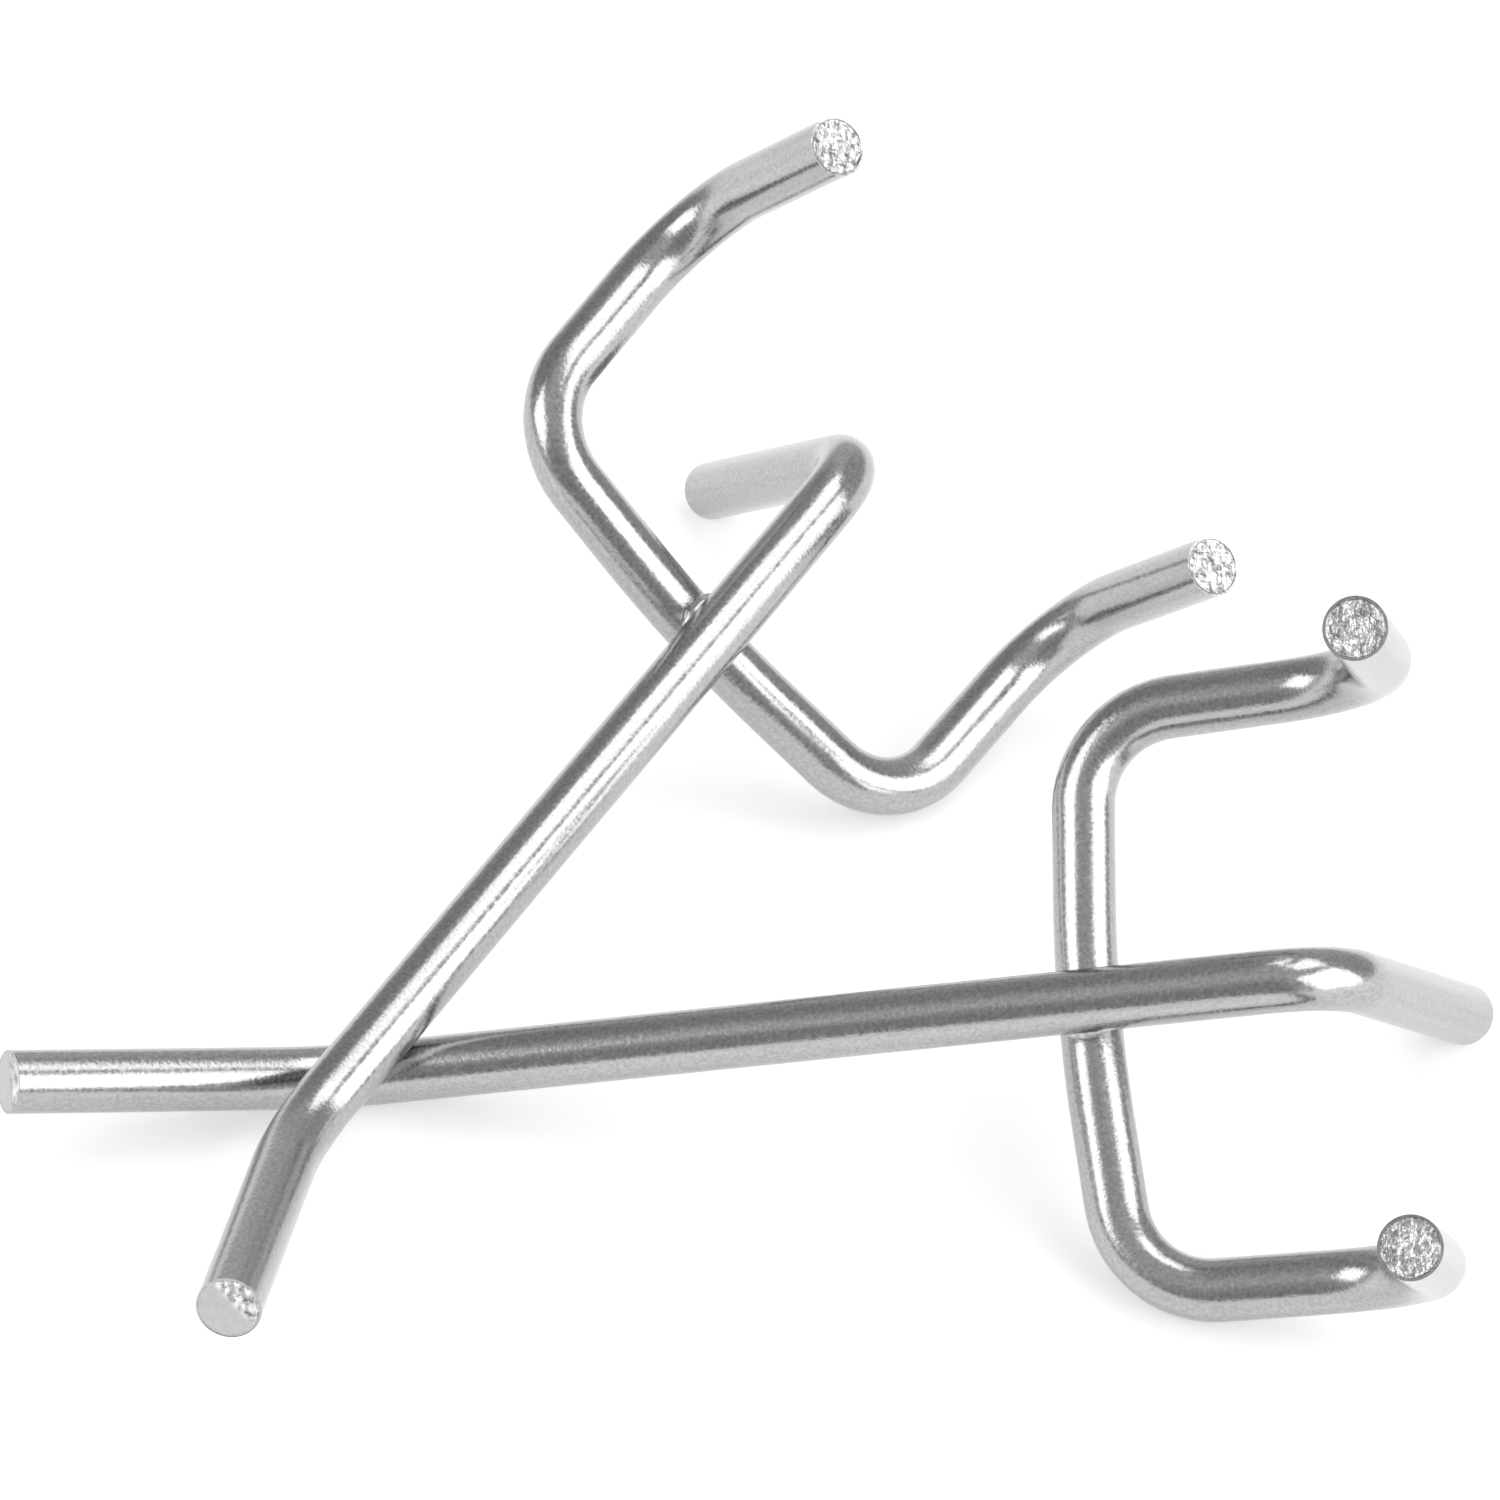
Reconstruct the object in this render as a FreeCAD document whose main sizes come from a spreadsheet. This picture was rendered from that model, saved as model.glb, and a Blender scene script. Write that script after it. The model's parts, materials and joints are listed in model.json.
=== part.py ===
import FreeCAD, Part
import Sketcher
import math
import os

# Two double-prong perforated-board hooks of plated steel wire. Each hook is two bent wires and
# the weld between them: a prong wire (a crossbar, two legs and two upturned prongs) and an arm
# wire (a foot that braces on the board, the arm, and an upturned tip). The lower hook lies on
# its side on the table; the upper one lies beside it with its arm across the lower arm.
#
# A hook's own frame: origin at the middle of the crossbar's two corners, +X along the arm
# towards the board, +Y along the crossbar, +Z up as the hook is used.

Vector = FreeCAD.Vector
doc = FreeCAD.newDocument("perforated_board_hooks")

# Driving dimensions, in millimetres and degrees. Lengths of bent wire run from corner to
# corner, or from corner to cut end, as on a bender's drawing; radii are of the centre line.
DIMENSIONS = [
    ("wire_diameter", 5.33, "both wires"),
    ("crossbar_length", 48.7, "between the crossbar's two corners"),
    ("crossbar_bow", 1.8, "how far the crossbar's middle corner stands towards the tip"),
    ("crossbar_bow_radius", 128.0, "the gentle bend at the crossbar's middle"),
    ("corner_radius", 8.3, "bend from crossbar to leg"),
    ("leg_length", 26.5, "crossbar corner to prong bend"),
    ("leg_rise_angle", 1.6, "legs against the arm"),
    ("leg_splay_angle", 1.4, "each leg, outwards"),
    ("prong_length", 24.4, "prong bend to cut end"),
    ("prong_angle", 89.5, "prongs against the arm"),
    ("prong_bend_radius", 10.0, "bend from leg to prong"),
    ("weld_setdown", 0.40, "how far the weld presses the arm into the crossbar"),
    ("weld_radius", 2.2, "molten slug between the wires, with its squeezed-out rim"),
    ("weld_depth", 2.2, "height of the slug, half of it in each wire"),
    ("brace_reach", 20.0, "crossbar to foot bend"),
    ("brace_length", 34.6, "foot bend to cut end"),
    ("brace_angle", 79.4, "foot against the arm"),
    ("brace_bend_radius", 7.2, "bend from arm to foot"),
    ("arm_length", 65.4, "crossbar to tip bend"),
    ("tip_length", 29.4, "tip bend to cut end"),
    ("tip_angle", 38.2, "tip against the arm"),
    ("tip_bend_radius", 15.0, "bend from arm to tip"),
    ("end_chamfer", 0.25, "broken edge at the arm wire's cut ends"),
    ("lower_heading", -4.8, "lower arm, seen from above"),
    ("upper_heading", 55.7, "upper arm, seen from above"),
    ("lower_crossing", 4.7, "tip bend to crossing, along the lower arm"),
    ("upper_crossing", 13.7, "tip bend to crossing, along the upper arm"),
    ("resting_gap", 0.25, "between the two hooks where one lies on the other"),
]

sheet = doc.addObject("Spreadsheet::Sheet", "Sizes")
for line, (alias, value, meaning) in enumerate(DIMENSIONS, start=1):
    sheet.set(f"A{line}", alias)
    sheet.set(f"B{line}", str(value))
    sheet.set(f"C{line}", meaning)
    sheet.setAlias(f"B{line}", alias)
doc.recompute()


def size(alias):
    return float(sheet.get(alias))


wireRadius = size("wire_diameter") / 2
armHeight = size("wire_diameter") - size("weld_setdown")


# Corners of the two wires in a hook's own frame.

def direction(elevation, sideways=0.0):
    """Unit vector, by its angle above the XY plane and its turn towards +Y, in degrees."""
    rise, turn = math.radians(elevation), math.radians(sideways)
    return Vector(math.cos(rise) * math.cos(turn), math.cos(rise) * math.sin(turn), math.sin(rise))


def prongWireCorners():
    halfBar = size("crossbar_length") / 2
    prong = direction(size("prong_angle")) * size("prong_length")
    sides = []
    for side in (1, -1):
        barCorner = Vector(0, side * halfBar, 0)
        leg = direction(size("leg_rise_angle"), side * size("leg_splay_angle"))
        prongCorner = barCorner + leg * size("leg_length")
        sides.append([prongCorner + prong, prongCorner, barCorner])
    middle = direction(size("leg_rise_angle")) * -size("crossbar_bow")
    return sides[0] + [middle] + sides[1][::-1]


def armWireCorners():
    braceCorner = Vector(size("brace_reach"), 0, armHeight)
    tipCorner = Vector(-size("arm_length"), 0, armHeight)
    brace = direction(-size("brace_angle")) * size("brace_length")
    tip = direction(180 - size("tip_angle")) * size("tip_length")
    return [braceCorner + brace, braceCorner, tipCorner, tipCorner + tip]


def bentPath(corners, radii):
    """Straight runs through the corners, with a tangent arc at each inner corner."""
    edges = []
    start = corners[0]
    for before, corner, after, radius in zip(corners, corners[1:], corners[2:], radii):
        arrive = (corner - before).normalize()
        leave = (after - corner).normalize()
        halfTurn = arrive.getAngle(leave) / 2
        arcStart = corner - arrive * radius * math.tan(halfTurn)
        arcEnd = corner + leave * radius * math.tan(halfTurn)
        arcMiddle = corner + (leave - arrive).normalize() * radius * (1 / math.cos(halfTurn) - 1)
        edges.append(Part.LineSegment(start, arcStart).toShape())
        edges.append(Part.Arc(arcStart, arcMiddle, arcEnd).toShape())
        start = arcEnd
    edges.append(Part.LineSegment(start, corners[-1]).toShape())
    return Part.Wire(edges)


prongRadii = [size(name) for name in ("prong_bend_radius", "corner_radius", "crossbar_bow_radius",
                                      "corner_radius", "prong_bend_radius")]
armRadii = [size("brace_bend_radius"), size("tip_bend_radius")]
prongPath = bentPath(prongWireCorners(), prongRadii)
armPath = bentPath(armWireCorners(), armRadii)


# The three sub-parts of one hook.

def sweptProngWire(hook):
    """The prong wire bends in space: a round section swept along its centre line."""
    spine = doc.addObject("Part::Feature", hook + "_prong_wire_spine")
    spine.Shape = prongPath
    start = prongPath.Edges[0]
    section = doc.addObject("Part::Circle", hook + "_prong_wire_section")
    section.setExpression("Radius", "Sizes.wire_diameter / 2")
    section.Placement = FreeCAD.Placement(
        start.valueAt(start.FirstParameter),
        FreeCAD.Rotation(Vector(0, 0, 1), start.tangentAt(start.FirstParameter)))
    swept = doc.addObject("Part::Sweep", hook + "_prong_wire_swept")
    swept.Sections = [section]
    swept.Spine = (spine, [f"Edge{n + 1}" for n in range(len(prongPath.Edges))])
    swept.Solid = True
    return swept


def pointAt(sketch, index, place):
    """Which of a curve's two ends lies at this place: 1 is its start, 2 its end."""
    return min((1, 2), key=lambda end: sketch.getPoint(index, end).distanceToPoint(place))


def armPathSketch(body, planes):
    """The arm wire's centre line, in the plane of the arm: foot, arm and tip."""
    sketch = body.newObject("Sketcher::SketchObject", body.Name + "_path")
    sketch.AttachmentSupport = (planes["XZ_Plane"], [""])
    sketch.MapMode = "FlatFace"

    def flat(point):
        return Vector(point.x, point.z, 0)

    for edge in armPath.Edges:
        first, last = edge.FirstParameter, edge.LastParameter
        places = [flat(edge.valueAt(u)) for u in (first, (first + last) / 2, last)]
        if edge.Curve.TypeId == "Part::GeomLine":
            sketch.addGeometry(Part.LineSegment(places[0], places[2]))
        else:
            sketch.addGeometry(Part.Arc(*places))
    braceRun, braceBend, armRun, tipBend, tipRun = range(5)
    corners = [flat(corner) for corner in armWireCorners()]
    braceCorner = sketch.addGeometry(Part.Point(corners[1]), True)
    tipCorner = sketch.addGeometry(Part.Point(corners[2]), True)

    for left, right in ((braceRun, braceBend), (armRun, braceBend), (armRun, tipBend), (tipRun, tipBend)):
        shared = min(((sketch.getPoint(left, a), sketch.getPoint(right, b)) for a in (1, 2) for b in (1, 2)),
                     key=lambda pair: pair[0].distanceToPoint(pair[1]))[0]
        sketch.addConstraint(Sketcher.Constraint(
            "Tangent", left, pointAt(sketch, left, shared), right, pointAt(sketch, right, shared)))
    sketch.addConstraint(Sketcher.Constraint("Horizontal", armRun))
    for corner, run in ((braceCorner, braceRun), (braceCorner, armRun), (tipCorner, armRun), (tipCorner, tipRun)):
        sketch.addConstraint(Sketcher.Constraint("PointOnObject", corner, 1, run))

    braceEnd = pointAt(sketch, braceRun, corners[0])
    tipEnd = pointAt(sketch, tipRun, corners[3])
    height = "Sizes.wire_diameter - Sizes.weld_setdown"
    driven = [
        (("Radius", braceBend, armRadii[0]), "Sizes.brace_bend_radius"),
        (("Radius", tipBend, armRadii[1]), "Sizes.tip_bend_radius"),
        (("DistanceY", -1, 1, braceCorner, 1, armHeight), height),
        (("DistanceX", -1, 1, braceCorner, 1, size("brace_reach")), "Sizes.brace_reach"),
        (("DistanceX", tipCorner, 1, -1, 1, size("arm_length")), "Sizes.arm_length"),
        (("Distance", braceCorner, 1, braceRun, braceEnd, size("brace_length")), "Sizes.brace_length"),
        (("Distance", tipCorner, 1, tipRun, tipEnd, size("tip_length")), "Sizes.tip_length"),
        (("Angle", braceRun, math.radians(180 - size("brace_angle"))), "(180 - Sizes.brace_angle) * 1 deg"),
        (("Angle", tipRun, math.radians(180 - size("tip_angle"))), "(180 - Sizes.tip_angle) * 1 deg"),
    ]
    for constraint, expression in driven:
        index = sketch.addConstraint(Sketcher.Constraint(*constraint))
        sketch.setExpression(f"Constraints[{index}]", expression)
    return sketch


def pipedArmWire(hook):
    """The arm wire lies in one plane: a PartDesign pipe with its two cut ends broken."""
    body = doc.addObject("PartDesign::Body", hook + "_arm_wire_body")
    planes = {origin.Role: origin for origin in body.Origin.OriginFeatures}
    path = armPathSketch(body, planes)
    doc.recompute()
    profile = body.newObject("Sketcher::SketchObject", body.Name + "_profile")
    profile.AttachmentSupport = (path, ["Edge1"])
    profile.MapMode = "NormalToEdge"
    profile.MapPathParameter = 0.0
    profile.addGeometry(Part.Circle(Vector(0, 0, 0), Vector(0, 0, 1), wireRadius))
    profile.addConstraint(Sketcher.Constraint("Coincident", 0, 3, -1, 1))
    index = profile.addConstraint(Sketcher.Constraint("Radius", 0, wireRadius))
    profile.setExpression(f"Constraints[{index}]", "Sizes.wire_diameter / 2")
    pipe = body.newObject("PartDesign::AdditivePipe", body.Name + "_pipe")
    pipe.Profile = profile
    pipe.Spine = (path, [f"Edge{n + 1}" for n in range(len(armPath.Edges))])
    doc.recompute()
    ends = (armWireCorners()[0], armWireCorners()[-1])
    rims = [f"Edge{n + 1}" for n, edge in enumerate(pipe.Shape.Edges)
            if edge.Curve.TypeId == "Part::GeomCircle"
            and min(edge.Curve.Center.distanceToPoint(end) for end in ends) < size("end_chamfer")]
    chamfer = body.newObject("PartDesign::Chamfer", body.Name + "_broken_ends")
    chamfer.Base = (pipe, rims)
    chamfer.setExpression("Size", "Sizes.end_chamfer")
    body.Tip = chamfer
    return body


def weldCentre():
    """On the crossbar's middle, halfway through what the weld pressed together."""
    bow = prongPath.Edges[len(prongPath.Edges) // 2]
    crown = bow.valueAt((bow.FirstParameter + bow.LastParameter) / 2)
    return Vector(crown.x, 0, (crown.z + armHeight) / 2)


def weldSlug(name):
    """Resistance weld: a short round slug of metal, half in each wire."""
    slug = doc.addObject("Part::Cylinder", name)
    slug.setExpression("Radius", "Sizes.weld_radius")
    slug.setExpression("Height", "Sizes.weld_depth")
    slug.Placement.Base = weldCentre() - Vector(0, 0, size("weld_depth") / 2)
    return slug


def cutFor(wire, slug, label):
    """The wire without the metal that melted into the slug, so the two meet face to face."""
    cut = doc.addObject("Part::Cut", label)
    cut.Base = wire
    cut.Tool = slug
    return cut


# How a hook lies: on its lower crossbar corner, on the foot's cut end and on the tip bend.

def stations(edges, perEdge=40):
    """Points of a centre line, each with its unit tangent."""
    for edge in edges:
        span = edge.LastParameter - edge.FirstParameter
        for step in range(perEdge + 1):
            place = edge.FirstParameter + span * step / perEdge
            yield edge.valueAt(place), edge.tangentAt(place).normalize()


def lowestPoint(run, up):
    """The lowest point of the wire's surface along a run, when up is upwards."""
    surface = []
    for centre, tangent in run:
        outward = (up - tangent * up.dot(tangent)).normalize()
        surface.append(centre - outward * wireRadius)
    return min(surface, key=lambda point: point.dot(up))


lowerBends = prongPath.Edges[5:8]
tipBends = armPath.Edges[3:5]
cutFoot = next(stations(armPath.Edges[:1]))


def restUpright(tipHeight):
    """Upward direction in the hook's frame, and the table's height along it, for a hook whose
    tip bend is held this far above the table."""
    up = Vector(0.26, 0.60, 0.75)
    for _ in range(40):
        corner = lowestPoint(stations(lowerBends), up)
        foot = lowestPoint([cutFoot], up)
        tip = lowestPoint(stations(tipBends), up) - up * tipHeight
        normal = (foot - corner).cross(tip - corner).normalize()
        turned = normal if normal.dot(up) > 0 else normal * -1
        settled = turned.distanceToPoint(up) < 1e-9
        up = turned
        if settled:
            break
    return up, corner.dot(up)


def layDown(tipHeight, heading):
    """Placement of a hook that lies at this heading, with its crossbar over the origin."""
    up, table = restUpright(tipHeight)
    ahead = Vector(1, 0, 0)
    ahead = (ahead - up * ahead.dot(up)).normalize()
    flat = FreeCAD.Rotation(ahead, up.cross(ahead), up, "ZXY").inverted()
    turn = FreeCAD.Rotation(Vector(0, 0, 1), heading)
    return FreeCAD.Placement(Vector(0, 0, -table), turn * flat)


def armPoint(placement, fromTipBend):
    return placement.multVec(Vector(fromTipBend - size("arm_length"), 0, armHeight))


lowerPlacement = layDown(0.0, size("lower_heading"))
crossing = armPoint(lowerPlacement, size("lower_crossing"))
lowerArm = lowerPlacement.Rotation.multVec(Vector(1, 0, 0))


def layAcross(tipHeight):
    """The upper hook over the crossing, and how far its arm's centre line clears the lower's."""
    placement = layDown(tipHeight, size("upper_heading"))
    above = armPoint(placement, size("upper_crossing"))
    placement.Base += Vector(crossing.x - above.x, crossing.y - above.y, 0)
    upperArm = placement.Rotation.multVec(Vector(1, 0, 0))
    across = lowerArm.cross(upperArm).normalize()
    return placement, (above.z - crossing.z) * abs(across.z)


def upperHookPlacement():
    """Raises the upper tip until the arms clear each other by the resting gap."""
    wanted = size("wire_diameter") + size("resting_gap")
    low, high = 0.0, 4 * size("wire_diameter")
    for _ in range(30):
        tipHeight = (low + high) / 2
        placement, clear = layAcross(tipHeight)
        if clear < wanted:
            low = tipHeight
        else:
            high = tipHeight
    return placement


def buildHook(hook, placement):
    """Prong wire, arm wire and weld of one hook, laid down at its placement."""
    melted = weldSlug(hook + "_melted_metal")
    parts = [cutFor(sweptProngWire(hook), melted, hook + "_prong_wire"),
             cutFor(pipedArmWire(hook), melted, hook + "_arm_wire"),
             weldSlug(hook + "_weld")]
    for part in parts:
        part.Placement = placement * part.Placement
    return parts


subParts = buildHook("lower_hook", lowerPlacement) + buildHook("upper_hook", upperHookPlacement())
doc.recompute()

# The part's origin: on the table, under the middle of the pair's bounding box.
whole = FreeCAD.BoundBox()
for part in subParts:
    whole.add(part.Shape.optimalBoundingBox(False, False))
for part in subParts:
    part.Placement.Base -= Vector(whole.Center.x, whole.Center.y, whole.ZMin)
doc.recompute()

for item in doc.Objects:
    if "Invalid" in item.State or "Error" in item.State:
        raise RuntimeError(f"{item.Name} failed: {item.State}")
for part in subParts:
    if part.Shape.isNull() or not part.Shape.isValid() or len(part.Shape.Solids) != 1:
        raise RuntimeError(f"{part.Label} isn't one valid solid")

os.makedirs("parts", exist_ok=True)
for part in subParts:
    part.Shape.exportStep(f"parts/{part.Label}.step")
    print(f"{part.Label}: {part.Shape.Volume:.1f} mm3")
print(f"prong wire path {prongPath.Length:.1f} mm, arm wire path {armPath.Length:.1f} mm, "
      f"section {math.pi * wireRadius ** 2:.2f} mm2")
print(f"whole pair {whole.XLength:.1f} x {whole.YLength:.1f} x {whole.ZLength:.1f} mm")
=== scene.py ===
import json
import math

import bpy
from mathutils import Matrix, Quaternion, Vector
from mathutils.kdtree import KDTree


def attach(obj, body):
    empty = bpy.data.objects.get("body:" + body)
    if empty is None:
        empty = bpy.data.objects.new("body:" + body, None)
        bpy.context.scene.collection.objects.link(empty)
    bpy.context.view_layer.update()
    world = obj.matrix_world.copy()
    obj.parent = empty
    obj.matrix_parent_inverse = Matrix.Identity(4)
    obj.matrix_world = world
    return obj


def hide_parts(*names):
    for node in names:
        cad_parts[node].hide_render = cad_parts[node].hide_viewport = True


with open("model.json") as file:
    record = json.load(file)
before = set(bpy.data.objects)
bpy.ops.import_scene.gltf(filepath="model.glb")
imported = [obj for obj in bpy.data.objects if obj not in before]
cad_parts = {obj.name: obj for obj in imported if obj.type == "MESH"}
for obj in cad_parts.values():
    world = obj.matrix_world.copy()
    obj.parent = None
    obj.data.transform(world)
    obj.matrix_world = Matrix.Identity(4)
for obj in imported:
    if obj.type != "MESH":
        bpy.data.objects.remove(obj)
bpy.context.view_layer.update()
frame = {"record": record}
bpy.ops.object.select_all(action="DESELECT")

mm = 0.001
hookNames = ("lower_hook", "upper_hook")

# Two pegboard hooks of bright plated wire. Each is a prong wire (crossbar, two legs, two upturned
# prongs) with an arm wire welded across it. In a hook's own frame +X runs along the arm to the
# board, +Y along the crossbar and +Z up. Lengths below are in mm, angles in degrees.

wireStock = {
    "radius": 2.665,
    "sides": 64,
    "ringGap": 1.1,
    "markSize": 3.0,  # dents the bending tools leave
    "markDepth": 0.07,
    "smoothAngle": 38,
}

prongWire = {
    "crossbarLength": 48.7,
    "crossbarBow": 1.8,
    "bowRadius": 128.0,
    "cornerRadius": 8.3,
    "legLength": 26.5,
    "legRise": 1.6,
    "legSplay": 1.4,
    "prongLength": 24.4,
    "prongAngle": 89.5,
    "prongBendRadius": 10.0,
    "straightProng": 14.76,  # the part of a prong past its bend
    "pinch": 0.035,
}

armWire = {
    "height": 4.93,
    "braceReach": 20.0,
    "braceLength": 34.6,
    "braceAngle": 79.4,
    "braceBendRadius": 7.2,
    "armLength": 65.4,
    "tipLength": 29.4,
    "tipAngle": 38.2,
    "tipBendRadius": 15.0,
    "pinch": 0.03,
}


def heading(rise, turn=0.0):
    rise, turn = math.radians(rise), math.radians(turn)
    return Vector((math.cos(rise) * math.cos(turn), math.cos(rise) * math.sin(turn), math.sin(rise)))


def prongWireCorners():
    prong = heading(prongWire["prongAngle"]) * prongWire["prongLength"]
    sides = []
    for side in (1, -1):
        barCorner = Vector((0, side * prongWire["crossbarLength"] / 2, 0))
        leg = heading(prongWire["legRise"], side * prongWire["legSplay"]) * prongWire["legLength"]
        sides.append([barCorner + leg + prong, barCorner + leg, barCorner])
    middle = heading(prongWire["legRise"]) * -prongWire["crossbarBow"]
    return [corner * mm for corner in sides[0] + [middle] + sides[1][::-1]]


def armWireCorners():
    braceCorner = Vector((armWire["braceReach"], 0, armWire["height"]))
    tipCorner = Vector((-armWire["armLength"], 0, armWire["height"]))
    brace = heading(-armWire["braceAngle"]) * armWire["braceLength"]
    tip = heading(180 - armWire["tipAngle"]) * armWire["tipLength"]
    return [corner * mm for corner in (braceCorner + brace, braceCorner, tipCorner, tipCorner + tip)]


# Wire: a ring is pushed along the straight runs and spun round each bend.

def drawWire(name, corners, bendRadii, pinch, cut):
    radius = wireStock["radius"] * mm
    gap = wireStock["ringGap"] * mm
    place = corners[0].copy()
    turned = (corners[1] - corners[0]).to_track_quat("Z", "Y")
    bpy.ops.object.select_all(action="DESELECT")
    bpy.ops.mesh.primitive_circle_add(vertices=wireStock["sides"], radius=radius, fill_type="NOTHING",
                                      location=place, rotation=turned.to_euler())
    wire = bpy.context.object
    wire.name = name
    wire.data.name = name
    bpy.ops.object.transform_apply(location=True, rotation=True, scale=True)
    bpy.ops.object.mode_set(mode="EDIT")
    bpy.ops.mesh.select_mode(type="EDGE")
    bpy.ops.mesh.select_all(action="SELECT")
    stations = [(place.copy(), turned.copy(), 0.0, Vector(), 0.0)]

    def pushTo(end):
        run = end - stations[-1][0]
        steps = max(1, round(run.length / gap))
        for _ in range(steps):
            bpy.ops.mesh.extrude_region_move(TRANSFORM_OT_translate={"value": run / steps})
            last = stations[-1]
            stations.append((last[0] + run / steps, last[1], last[2] + run.length / steps, Vector(), 0.0))

    for before, corner, after, bendRadius in zip(corners, corners[1:], corners[2:], bendRadii):
        bendRadius = bendRadius * mm
        arrive = (corner - before).normalized()
        leave = (after - corner).normalized()
        turn = arrive.angle(leave)
        inward = (leave - arrive).normalized()
        centre = corner + inward * bendRadius / math.cos(turn / 2)
        axis = arrive.cross(leave).normalized()
        pushTo(corner - arrive * bendRadius * math.tan(turn / 2))
        steps = max(3, math.ceil(bendRadius * turn / gap))
        bpy.ops.mesh.spin(steps=steps, angle=turn, center=centre, axis=-axis)
        first = stations[-1]
        for step in range(1, steps + 1):
            swing = Quaternion(axis, turn * step / steps)
            spot = centre + swing @ (first[0] - centre)
            depth = math.sin(math.pi * step / steps) * min(1.0, turn)
            along = first[2] + bendRadius * turn * step / steps
            stations.append((spot, swing @ first[1], along, (centre - spot).normalized(), depth))
    pushTo(corners[-1])

    cutEnd(wire, corners[-1], (corners[-1] - corners[-2]).normalized(), cut)
    bpy.ops.mesh.select_mode(type="EDGE")
    bpy.ops.mesh.select_all(action="DESELECT")
    bpy.ops.mesh.select_non_manifold(extend=False, use_wire=False, use_multi_face=False,
                                     use_non_contiguous=False, use_verts=False)
    cutEnd(wire, corners[0], (corners[0] - corners[1]).normalized(), cut)
    bpy.ops.mesh.select_all(action="SELECT")
    bpy.ops.mesh.normals_make_consistent(inside=False)
    bpy.ops.object.mode_set(mode="OBJECT")
    followBends(wire, stations, pinch, cut)
    return wire


# Cut ends: the prongs are snapped off inside a small rolled lip. The arm wire is sheared smooth
# on one side and torn on the other.
snappedEnd = {
    "rim": ((0.00, 0.985), (-0.02, 0.93), (-0.10, 0.97)),  # forward mm, then how much it shrinks
    "break": 0.40,
    "grain": 0.85,
    "fineBreak": 0.10,
    "fineGrain": 0.28,
    "tornFrom": -2.0,  # in radii from the middle; the face is torn past it
    "tornEdge": 0.16,
    "shearedShare": 0.1,  # how much of the break shows where it is sheared
}

shearedEnd = {
    "rim": ((-0.03, 0.975), (0.02, 0.955), (0.00, 0.98)),
    "break": 0.34,
    "grain": 0.80,
    "fineBreak": 0.08,
    "fineGrain": 0.30,
    "tornFrom": 0.12,
    "tornEdge": 0.16,
    "shearedShare": 0.1,
}


def cutEnd(wire, end, ahead, cut):
    spot = end.copy()
    for forward, shrink in cut["rim"]:
        bpy.ops.mesh.extrude_region_move(TRANSFORM_OT_translate={"value": ahead * forward * mm})
        spot += ahead * forward * mm
        bpy.ops.transform.resize(value=(shrink, shrink, shrink), center_override=spot)
    bpy.ops.mesh.fill_grid(span=wireStock["sides"] // 4)
    bpy.ops.mesh.select_mode(type="FACE")
    bpy.ops.mesh.subdivide(number_cuts=2, smoothness=0)
    if len(wire.data.materials) < 2:
        wire.data.materials.append(platedSteel)
        wire.data.materials.append(cutSteel)
    wire.active_material_index = 1
    bpy.ops.object.material_slot_assign()


def clouds(name, grain):
    texture = bpy.data.textures.new(name, "CLOUDS")
    texture.noise_scale = grain * mm
    texture.noise_depth = 3
    return texture


def displace(piece, group, name, grain, strength):
    bump = piece.modifiers.new(name, "DISPLACE")
    bump.texture = clouds(name, grain)
    bump.texture_coords = "LOCAL"
    bump.vertex_group = group
    bump.mid_level = 0.5
    bump.strength = strength * mm
    bpy.context.view_layer.objects.active = piece
    bpy.ops.object.modifier_apply(modifier=bump.name)


def followBends(wire, stations, pinch, cut):
    tree = KDTree(len(stations))
    for index, station in enumerate(stations):
        tree.insert(station[0], index)
    tree.balance()
    faces = wire.vertex_groups.new(name="cutFace")
    bends = wire.vertex_groups.new(name="toolMarks")
    rim = set()
    inner = set()
    for polygon in wire.data.polygons:
        (inner if polygon.material_index else rim).update(polygon.vertices)
    tornSide = heading(90 - armWire["tipAngle"])
    torn = [0.0] * len(wire.data.vertices)
    unbent = []
    for vertex in wire.data.vertices:
        centre, turned, along, inward, depth = stations[tree.find(vertex.co)[1]]
        across = turned.inverted() @ (vertex.co - centre)
        unbent.extend((across.x, across.y, across.z + along))
        if vertex.index in inner:
            height = (vertex.co - centre).dot(tornSide) / (wireStock["radius"] * mm)
            share = min(1.0, max(0.0, (height - cut["tornFrom"]) / cut["tornEdge"]))
            torn[vertex.index] = share
            if vertex.index not in rim:
                sheared = cut["shearedShare"]
                faces.add([vertex.index], sheared + (1 - sheared) * share, "REPLACE")
        if depth > 0:
            side = (vertex.co - centre).dot(inward)
            vertex.co -= inward * side * pinch * depth
            bends.add([vertex.index], depth, "REPLACE")
    wire.data.attributes.new("straightWire", "FLOAT_VECTOR", "POINT").data.foreach_set("vector", unbent)
    wire.data.attributes.new("torn", "FLOAT", "POINT").data.foreach_set("value", torn)
    displace(wire, "cutFace", "break", cut["grain"], cut["break"])
    displace(wire, "cutFace", "fineBreak", cut["fineGrain"], cut["fineBreak"])
    displace(wire, "toolMarks", "toolMarks", wireStock["markSize"], wireStock["markDepth"])
    bpy.ops.object.select_all(action="DESELECT")
    wire.select_set(True)
    bpy.ops.object.shade_smooth_by_angle(angle=math.radians(wireStock["smoothAngle"]))
    for polygon in wire.data.polygons:
        if polygon.material_index and torn[polygon.vertices[0]] > 0.5:
            polygon.use_smooth = False


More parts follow.
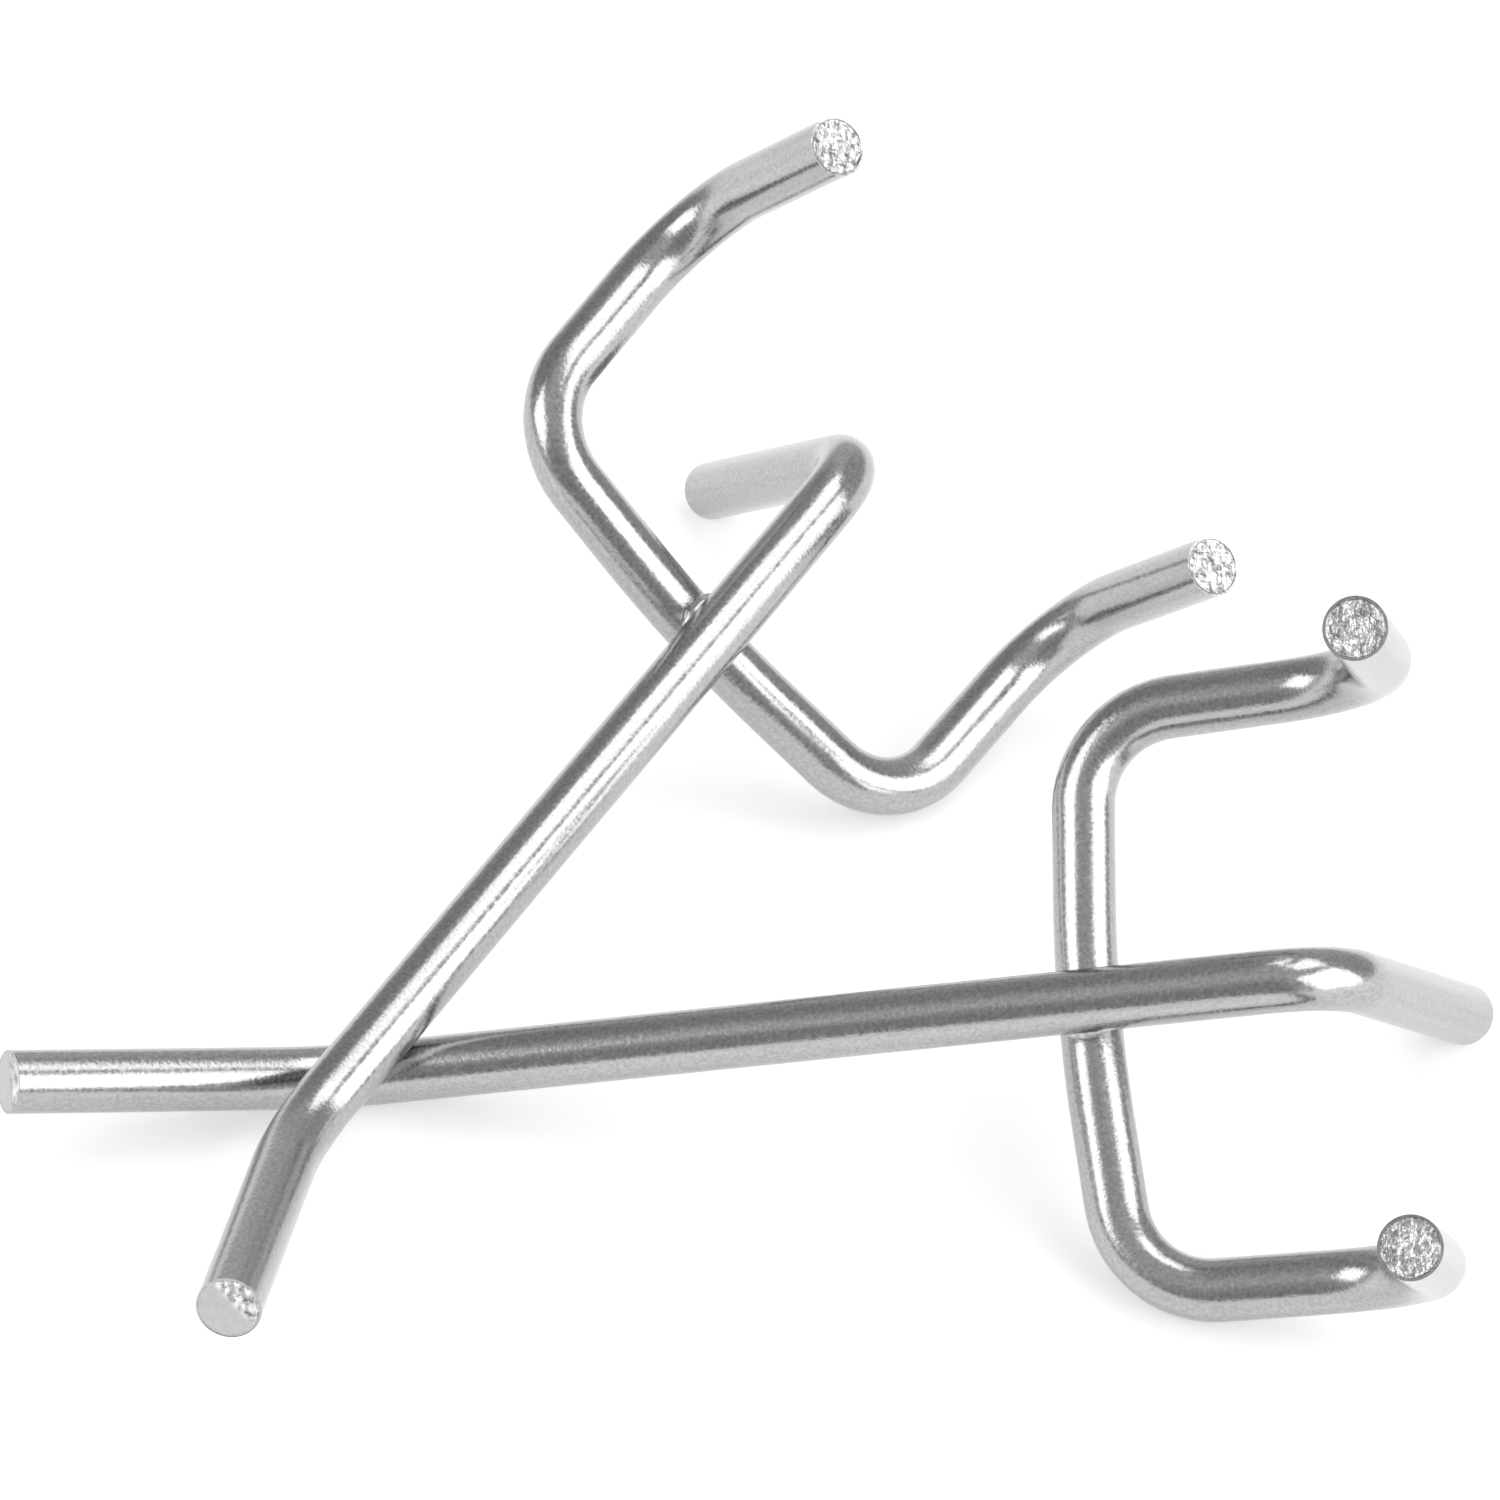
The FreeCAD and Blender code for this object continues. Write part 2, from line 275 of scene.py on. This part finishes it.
# Weld: a flat bead of metal squeezed out between the arm and the crossbar.
weldBead = {
    "rings": ((-0.95, 2.35), (-0.62, 2.75), (-0.3, 2.95), (0.0, 3.0),  # height, then radius
              (0.3, 2.95), (0.62, 2.75), (0.95, 2.35)),
    "height": 2.4447,
    "ripple": 0.22,
    "rippleGrain": 1.1,
    "sides": 64,
    "smoothAngle": 60,
}


def weldPlace():
    bow = prongWire["crossbarBow"]
    crown = bow - (bow / (prongWire["crossbarLength"] / 2)) ** 2 * prongWire["bowRadius"] / 2
    return Vector((-crown, 0, weldBead["height"])) * mm


def squeezeWeld(name):
    centre = weldPlace()
    rings = weldBead["rings"]
    bpy.ops.object.select_all(action="DESELECT")
    bpy.ops.mesh.primitive_circle_add(vertices=weldBead["sides"], radius=rings[0][1] * mm,
                                      fill_type="NOTHING", location=centre + Vector((0, 0, rings[0][0] * mm)))
    weld = bpy.context.object
    weld.name = name
    weld.data.name = name
    bpy.ops.object.transform_apply(location=True, rotation=True, scale=True)
    bpy.ops.object.mode_set(mode="EDIT")
    bpy.ops.mesh.select_mode(type="EDGE")
    bpy.ops.mesh.select_all(action="SELECT")
    for below, ring in zip(rings, rings[1:]):
        bpy.ops.mesh.extrude_region_move(TRANSFORM_OT_translate={"value": (0, 0, (ring[0] - below[0]) * mm)})
        grow = ring[1] / below[1]
        bpy.ops.transform.resize(value=(grow, grow, 1), center_override=centre)
    bpy.ops.mesh.fill_grid(span=weldBead["sides"] // 4)
    bpy.ops.mesh.select_mode(type="EDGE")
    bpy.ops.mesh.select_non_manifold(extend=False, use_wire=False, use_multi_face=False,
                                     use_non_contiguous=False, use_verts=False)
    bpy.ops.mesh.fill_grid(span=weldBead["sides"] // 4)
    bpy.ops.mesh.select_all(action="SELECT")
    bpy.ops.mesh.subdivide(number_cuts=1, smoothness=0.6)
    bpy.ops.mesh.normals_make_consistent(inside=False)
    bpy.ops.object.mode_set(mode="OBJECT")
    weld.data.materials.append(weldSteel)
    everywhere = weld.vertex_groups.new(name="ripple")
    everywhere.add([vertex.index for vertex in weld.data.vertices], 1.0, "REPLACE")
    displace(weld, "ripple", "ripple", weldBead["rippleGrain"], weldBead["ripple"])
    bpy.ops.object.select_all(action="DESELECT")
    weld.select_set(True)
    bpy.ops.object.shade_smooth_by_angle(angle=math.radians(weldBead["smoothAngle"]))
    return weld


# Materials: the plate follows the wire by where each point lay before it was bent.

def startMaterial(name):
    material = bpy.data.materials.new(name)
    material.use_nodes = True
    nodes = material.node_tree.nodes
    return material, nodes, material.node_tree.links, nodes["Principled BSDF"]


def addNode(nodes, kind, **settings):
    node = nodes.new(kind)
    for name, value in settings.items():
        if name in node.inputs:
            node.inputs[name].default_value = value
        else:
            setattr(node, name, value)
    return node


def noise(nodes, links, vector, stretch, detail, roughness=0.5):
    mapping = addNode(nodes, "ShaderNodeMapping", Scale=stretch)
    links.new(vector, mapping.inputs["Vector"])
    texture = addNode(nodes, "ShaderNodeTexNoise", Scale=1.0, Detail=detail, Roughness=roughness)
    links.new(mapping.outputs["Vector"], texture.inputs["Vector"])
    return texture.outputs["Fac"]


def spread(nodes, links, value, low, high, outLow, outHigh):
    node = addNode(nodes, "ShaderNodeMapRange")
    links.new(value, node.inputs["Value"])
    for name, amount in (("From Min", low), ("From Max", high), ("To Min", outLow), ("To Max", outHigh)):
        node.inputs[name].default_value = amount
    return node.outputs["Result"]


def bumpOn(nodes, links, height, depth, normal=None):
    bump = addNode(nodes, "ShaderNodeBump", Strength=1.0, Distance=depth * mm)
    links.new(height, bump.inputs["Height"])
    if normal is not None:
        links.new(normal, bump.inputs["Normal"])
    return bump.outputs["Normal"]


def makePlatedSteel(look):
    material, nodes, links, surface = startMaterial("bright plated wire")
    surface.inputs["Metallic"].default_value = 1.0
    wirePlace = addNode(nodes, "ShaderNodeAttribute", attribute_name="straightWire").outputs["Vector"]
    drawn = noise(nodes, links, wirePlace, (look["streaks"], look["streaks"], look["streakRun"]), 4.0)
    grain = noise(nodes, links, wirePlace, (look["grain"],) * 3, 3.0, 0.6)
    wave = noise(nodes, links, wirePlace, (look["wave"], look["wave"], look["wave"] * 0.5), 2.0)
    tint = spread(nodes, links, drawn, 0.3, 0.7, 0.0, 1.0)
    mix = addNode(nodes, "ShaderNodeMix", data_type="RGBA")
    mix.inputs[6].default_value = look["dark"]
    mix.inputs[7].default_value = look["bright"]
    links.new(tint, mix.inputs["Factor"])
    mottled = addNode(nodes, "ShaderNodeVectorMath", operation="SCALE")
    links.new(mix.outputs[2], mottled.inputs[0])
    links.new(spread(nodes, links, grain, 0.3, 0.7, *look["mottle"]), mottled.inputs["Scale"])
    links.new(mottled.outputs["Vector"], surface.inputs["Base Color"])
    links.new(spread(nodes, links, grain, 0.3, 0.7, *look["roughness"]), surface.inputs["Roughness"])
    normal = bumpOn(nodes, links, wave, look["waveDepth"])
    normal = bumpOn(nodes, links, drawn, look["streakDepth"], normal)
    normal = bumpOn(nodes, links, grain, look["grainDepth"], normal)
    links.new(normal, surface.inputs["Normal"])
    return material


def makeCutSteel(look):
    material, nodes, links, surface = startMaterial("cut steel")
    surface.inputs["Metallic"].default_value = 1.0
    torn = addNode(nodes, "ShaderNodeAttribute", attribute_name="torn").outputs["Fac"]
    place = addNode(nodes, "ShaderNodeTexCoord").outputs["Object"]
    crystal = noise(nodes, links, place, (look["grain"],) * 3, 6.0, 0.7)
    tear = noise(nodes, links, place, (look["tear"], look["tear"] * 0.3, look["tear"] * 0.45), 4.0)
    contrast = addNode(nodes, "ShaderNodeMix", data_type="FLOAT")
    links.new(torn, contrast.inputs["Factor"])
    links.new(spread(nodes, links, crystal, 0.3, 0.7, 0.25, 0.5), contrast.inputs[2])
    links.new(spread(nodes, links, tear, 0.4, 0.6, 0.0, 1.0), contrast.inputs[3])
    mix = addNode(nodes, "ShaderNodeMix", data_type="RGBA")
    mix.inputs[6].default_value = look["dark"]
    mix.inputs[7].default_value = look["bright"]
    links.new(contrast.outputs[0], mix.inputs["Factor"])
    links.new(mix.outputs[2], surface.inputs["Base Color"])
    links.new(spread(nodes, links, torn, 0.0, 1.0, *look["roughness"]), surface.inputs["Roughness"])
    normal = bumpOn(nodes, links, crystal, look["grainDepth"])
    tearing = addNode(nodes, "ShaderNodeMath", operation="MULTIPLY")
    links.new(tear, tearing.inputs[0])
    links.new(torn, tearing.inputs[1])
    links.new(bumpOn(nodes, links, tearing.outputs[0], look["tearDepth"], normal), surface.inputs["Normal"])
    return material


def makeWeldSteel(look):
    material, nodes, links, surface = startMaterial("weld metal")
    surface.inputs["Metallic"].default_value = 1.0
    place = addNode(nodes, "ShaderNodeTexCoord").outputs["Object"]
    scale = noise(nodes, links, place, (look["grain"],) * 3, 4.0, 0.6)
    mix = addNode(nodes, "ShaderNodeMix", data_type="RGBA")
    mix.inputs[6].default_value = look["dark"]
    mix.inputs[7].default_value = look["bright"]
    links.new(spread(nodes, links, scale, 0.35, 0.65, 0.0, 1.0), mix.inputs["Factor"])
    links.new(mix.outputs[2], surface.inputs["Base Color"])
    links.new(spread(nodes, links, scale, 0.3, 0.7, *look["roughness"]), surface.inputs["Roughness"])
    links.new(bumpOn(nodes, links, scale, look["grainDepth"]), surface.inputs["Normal"])
    return material


platedSteel = makePlatedSteel({
    "dark": (0.42, 0.423, 0.425, 1),
    "bright": (0.485, 0.488, 0.49, 1),
    "roughness": (0.12, 0.24),
    "streaks": 1100.0,
    "streakRun": 30.0,
    "streakDepth": 0.006,
    "grain": 3000.0,
    "grainDepth": 0.02,
    "mottle": (0.80, 1.14),
    "wave": 420.0,
    "waveDepth": 0.014,
})

cutSteel = makeCutSteel({
    "dark": (0.38, 0.38, 0.385, 1),
    "bright": (0.84, 0.84, 0.85, 1),
    "roughness": (0.40, 0.24),  # sheared smooth, then torn
    "grain": 2600.0,
    "grainDepth": 0.012,
    "tear": 2300.0,
    "tearDepth": 0.17,
})

weldSteel = makeWeldSteel({
    "dark": (0.34, 0.335, 0.33, 1),
    "bright": (0.66, 0.66, 0.67, 1),
    "roughness": (0.14, 0.3),
    "grain": 1800.0,
    "grainDepth": 0.02,
})


# The hooks: each shape is made once, then laid where its hook's prongs say it lies.

def hookPlacement(hook):
    mounts = {mount["name"]: mount for mount in frame["record"]["mounts"]}
    high = Vector(mounts[hook + "_high_prong"]["pos_m"])
    low = Vector(mounts[hook + "_low_prong"]["pos_m"])
    prong = Vector(mounts[hook + "_high_prong"]["axis"]).normalized()
    alongBar = (high - low).normalized()
    outward = alongBar.cross(prong).normalized()
    lean = math.radians(prongWire["prongAngle"])
    alongArm = outward * math.sin(lean) + prong * math.cos(lean)
    upward = prong * math.sin(lean) - outward * math.cos(lean)
    axes = Matrix((alongArm, alongBar, upward)).transposed()
    leg = heading(prongWire["legRise"], prongWire["legSplay"]) * prongWire["legLength"]
    leg.y = 0
    halfProng = prongWire["prongLength"] - prongWire["straightProng"] / 2
    middle = (leg + heading(prongWire["prongAngle"]) * halfProng) * mm
    return Matrix.Translation((high + low) / 2 - axes @ middle) @ axes.to_4x4()


def layPiece(pattern, hook, part):
    piece = pattern.copy()
    piece.data = pattern.data.copy()
    piece.name = hook + "_" + part + "_finished"
    piece.data.name = piece.name
    bpy.context.scene.collection.objects.link(piece)
    piece.data.transform(hookPlacement(hook))
    piece.data.update()
    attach(piece, hook)
    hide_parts(hook + "_" + part)
    return piece


prongRadii = (prongWire["prongBendRadius"], prongWire["cornerRadius"], prongWire["bowRadius"],
              prongWire["cornerRadius"], prongWire["prongBendRadius"])
armRadii = (armWire["braceBendRadius"], armWire["tipBendRadius"])
patterns = (
    (drawWire("prongWire", prongWireCorners(), prongRadii, prongWire["pinch"], snappedEnd),
     "prong_wire", "plated_wire"),
    (drawWire("armWire", armWireCorners(), armRadii, armWire["pinch"], shearedEnd),
     "arm_wire", "plated_wire"),
    (squeezeWeld("weld"), "weld", "weld_metal"),
)
print("wires drawn and welds squeezed")
for hook in hookNames:
    for pattern, part, slot in patterns:
        layPiece(pattern, hook, part)
    print(hook, "laid")
for pattern, part, slot in patterns:
    bpy.data.objects.remove(pattern)


# Studio: pale floor, a soft lamp each side, a high one behind, and dimmer walls between them.
studio = {
    "floorSize": 6.0,
    "floorColour": 0.80,
    "floorGlow": 0.40,
    "wall": 0.62,
    "lampFar": 0.75,
    "dimCore": 0.35,  # share of a dim wall's width that is at its darkest
}

softLamps = (
    # name, turn to the right, height angle, width, height, brightness
    ("leftSoftbox", -75, 32, 0.50, 0.44, 2.1),
    ("rightSoftbox", 62, 27, 0.74, 0.70, 2.1),
    ("highSoftbox", 130, 70, 0.50, 0.40, 1.9),
)

dimWalls = (
    # turn to the right, height angle, how wide, how dark
    (-12, 18, 42, 0.38),
    (-125, 35, 46, 0.44),
    (125, 30, 40, 0.22),
)


def studioSide(turn, rise):
    turn, rise = math.radians(turn), math.radians(rise)
    return Vector((math.sin(turn) * math.cos(rise), -math.cos(turn) * math.cos(rise), math.sin(rise)))


def hangLamps():
    for name, turn, rise, width, height, brightness in softLamps:
        away = studioSide(turn, rise)
        lamp = bpy.data.lights.new(name, "AREA")
        lamp.shape = "RECTANGLE"
        lamp.size = width
        lamp.size_y = height
        lamp.energy = brightness * math.pi * width * height
        holder = bpy.data.objects.new(name, lamp)
        holder.location = away * studio["lampFar"]
        holder.rotation_euler = away.to_track_quat("Z", "Y").to_euler()
        holder.visible_camera = False
        bpy.context.scene.collection.objects.link(holder)


def paintWalls():
    world = bpy.data.worlds.new("studio")
    bpy.context.scene.world = world
    world.use_nodes = True
    nodes, links = world.node_tree.nodes, world.node_tree.links
    background = nodes["Background"]
    looking = addNode(nodes, "ShaderNodeTexCoord").outputs["Generated"]
    level = None
    for turn, rise, wide, dark in dimWalls:
        towards = addNode(nodes, "ShaderNodeVectorMath", operation="DOT_PRODUCT")
        towards.inputs[1].default_value = studioSide(turn, rise)
        links.new(looking, towards.inputs[0])
        dimming = addNode(nodes, "ShaderNodeMapRange", interpolation_type="SMOOTHSTEP")
        dimming.inputs["From Min"].default_value = math.cos(math.radians(wide))
        dimming.inputs["From Max"].default_value = math.cos(math.radians(wide * studio["dimCore"]))
        dimming.inputs["To Min"].default_value = 1.0
        dimming.inputs["To Max"].default_value = 1.0 - dark
        links.new(towards.outputs["Value"], dimming.inputs["Value"])
        times = addNode(nodes, "ShaderNodeMath", operation="MULTIPLY")
        times.inputs[0].default_value = studio["wall"]
        if level is not None:
            links.new(level, times.inputs[0])
        links.new(dimming.outputs["Result"], times.inputs[1])
        level = times.outputs[0]
    seen = addNode(nodes, "ShaderNodeLightPath")
    shown = addNode(nodes, "ShaderNodeMath", operation="ADD", use_clamp=True)
    links.new(seen.outputs["Is Camera Ray"], shown.inputs[0])
    links.new(seen.outputs["Is Transmission Ray"], shown.inputs[1])
    strength = addNode(nodes, "ShaderNodeMix", data_type="FLOAT")
    links.new(shown.outputs[0], strength.inputs["Factor"])
    links.new(level, strength.inputs[2])
    strength.inputs[3].default_value = 1.0
    links.new(strength.outputs[0], background.inputs["Strength"])
    background.inputs["Color"].default_value = (1, 1, 1, 1)


def layFloor():
    bpy.ops.object.select_all(action="DESELECT")
    bpy.ops.mesh.primitive_plane_add(size=studio["floorSize"], location=(0, 0, -0.1 * mm))
    floor = bpy.context.object
    floor.name = "studioFloor"
    material, nodes, links, surface = startMaterial("pale floor")
    colour = studio["floorColour"]
    surface.inputs["Base Color"].default_value = (colour, colour, colour, 1)
    surface.inputs["Roughness"].default_value = 0.9
    surface.inputs["Emission Color"].default_value = (1, 1, 1, 1)
    seen = addNode(nodes, "ShaderNodeLightPath")
    glow = None
    for ray in ("Is Camera Ray", "Is Glossy Ray", "Is Transmission Ray"):
        add = addNode(nodes, "ShaderNodeMath", operation="ADD", use_clamp=True)
        add.inputs[0].default_value = 0.0
        if glow is not None:
            links.new(glow, add.inputs[0])
        links.new(seen.outputs[ray], add.inputs[1])
        glow = add.outputs[0]
    dimmed = addNode(nodes, "ShaderNodeMath", operation="MULTIPLY")
    links.new(glow, dimmed.inputs[0])
    dimmed.inputs[1].default_value = studio["floorGlow"]
    links.new(dimmed.outputs[0], surface.inputs["Emission Strength"])
    floor.data.materials.append(material)


cameraPlace = {
    "aim": (-1.6, 3.58, 20.0),
    "distance": 673.84,
    "turn": 3.36,
    "height": 41.41,
    "roll": 4.79,
    "lens": 189.41,
}


def placeCamera():
    data = bpy.data.cameras.new("camera")
    data.lens = cameraPlace["lens"]
    data.sensor_width = 36.0
    data.clip_end = 20.0
    camera = bpy.data.objects.new("camera", data)
    back = studioSide(-cameraPlace["turn"], cameraPlace["height"])
    camera.location = (Vector(cameraPlace["aim"]) + back * cameraPlace["distance"]) * mm
    roll = Quaternion((0, 0, 1), math.radians(cameraPlace["roll"]))
    camera.rotation_euler = (back.to_track_quat("Z", "Y") @ roll).to_euler()
    bpy.context.scene.collection.objects.link(camera)
    bpy.context.scene.camera = camera


hangLamps()
paintWalls()
layFloor()
placeCamera()
bpy.context.scene.view_settings.view_transform = "Standard"
print("studio set")
